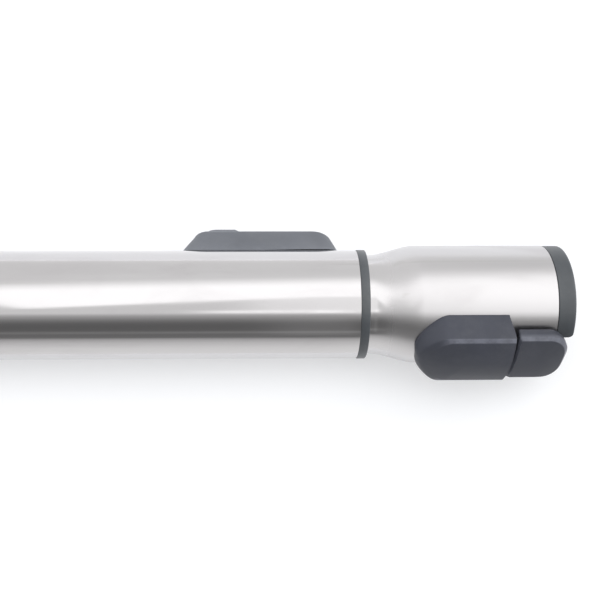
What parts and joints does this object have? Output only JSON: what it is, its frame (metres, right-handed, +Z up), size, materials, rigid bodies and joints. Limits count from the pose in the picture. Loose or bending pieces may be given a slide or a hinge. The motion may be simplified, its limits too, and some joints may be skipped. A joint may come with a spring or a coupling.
{
  "type": "telescopic vacuum extension wand",
  "caption": "Telescopic steel extension wand for a vacuum cleaner, with a slider that locks its length and a handle socket with a release latch.",
  "frame": {"origin": "centre of the handle socket's mouth, on the axis of the tubes", "axes": "+X along the tubes and out of the handle socket, +Z up as the wand lies, +Y to the side that the slider is on"},
  "size_m": [0.6216, 0.0522, 0.038],
  "materials": {
    "tube_steel": "polished stainless steel with a fine grain along the tube",
    "collar_plastic": "moulded dark grey plastic",
    "inner_plastic": "moulded dark grey plastic, unseen inside",
    "grey_plastic": "moulded blue-grey plastic with a fine satin texture",
    "white_plastic": "low-friction white plastic",
    "seal_rubber": "soft black rubber",
    "bright_steel": "bright hardened steel",
    "spring_steel": "drawn spring wire"
  },
  "bodies": {
    "upper_section": {"inner_tube": "tube_steel", "socket_liner": "collar_plastic", "tube_bush": "white_plastic", "air_seal": "seal_rubber", "end_buffer": "seal_rubber", "latch_base": "inner_plastic", "latch_cover": "grey_plastic", "pivot_pin": "bright_steel", "latch_spring": "spring_steel"},
    "lower_section": {"outer_tube": "tube_steel", "guide_sleeve": "collar_plastic", "wiper_seal": "seal_rubber", "slider_bed": "inner_plastic", "bed_screws": "bright_steel", "slider_spring": "spring_steel"},
    "slider": {"slider_button": "grey_plastic", "roller_carrier": "bright_steel"},
    "roller": {"lock_roller": "bright_steel"},
    "release": {"release_button": "grey_plastic", "catch_pin": "bright_steel"}
  },
  "joints": [
    {"name": "tube_extend", "type": "slide", "parent": "upper_section", "child": "lower_section", "axis": [-1, 0, 0], "range_m": [0, 0.376]},
    {"name": "slider_shift", "type": "slide", "parent": "lower_section", "child": "slider", "axis": [-1, 0, 0], "range_m": [0, 0.006], "stiffness_N_per_m": 600, "springref_m": -0.004, "deforming": ["slider_spring"]},
    {"name": "roller_lift", "type": "slide", "parent": "lower_section", "child": "roller", "axis": [0, 0.91, -0.4147], "range_m": [0, 0.0012]},
    {"name": "latch_press", "type": "hinge", "parent": "upper_section", "child": "release", "pos_m": [-0.0214, -0.01884, 0.00858], "axis": [0, 0.4147, 0.91], "range_deg": [0, 5.5], "stiffness_Nm_per_rad": 0.4, "springref_deg": -11.46, "deforming": ["latch_spring"]}
  ],
  "couplings": [
    {"joint": "roller_lift", "follows": "slider_shift", "ratio": 0.2}
  ]
}
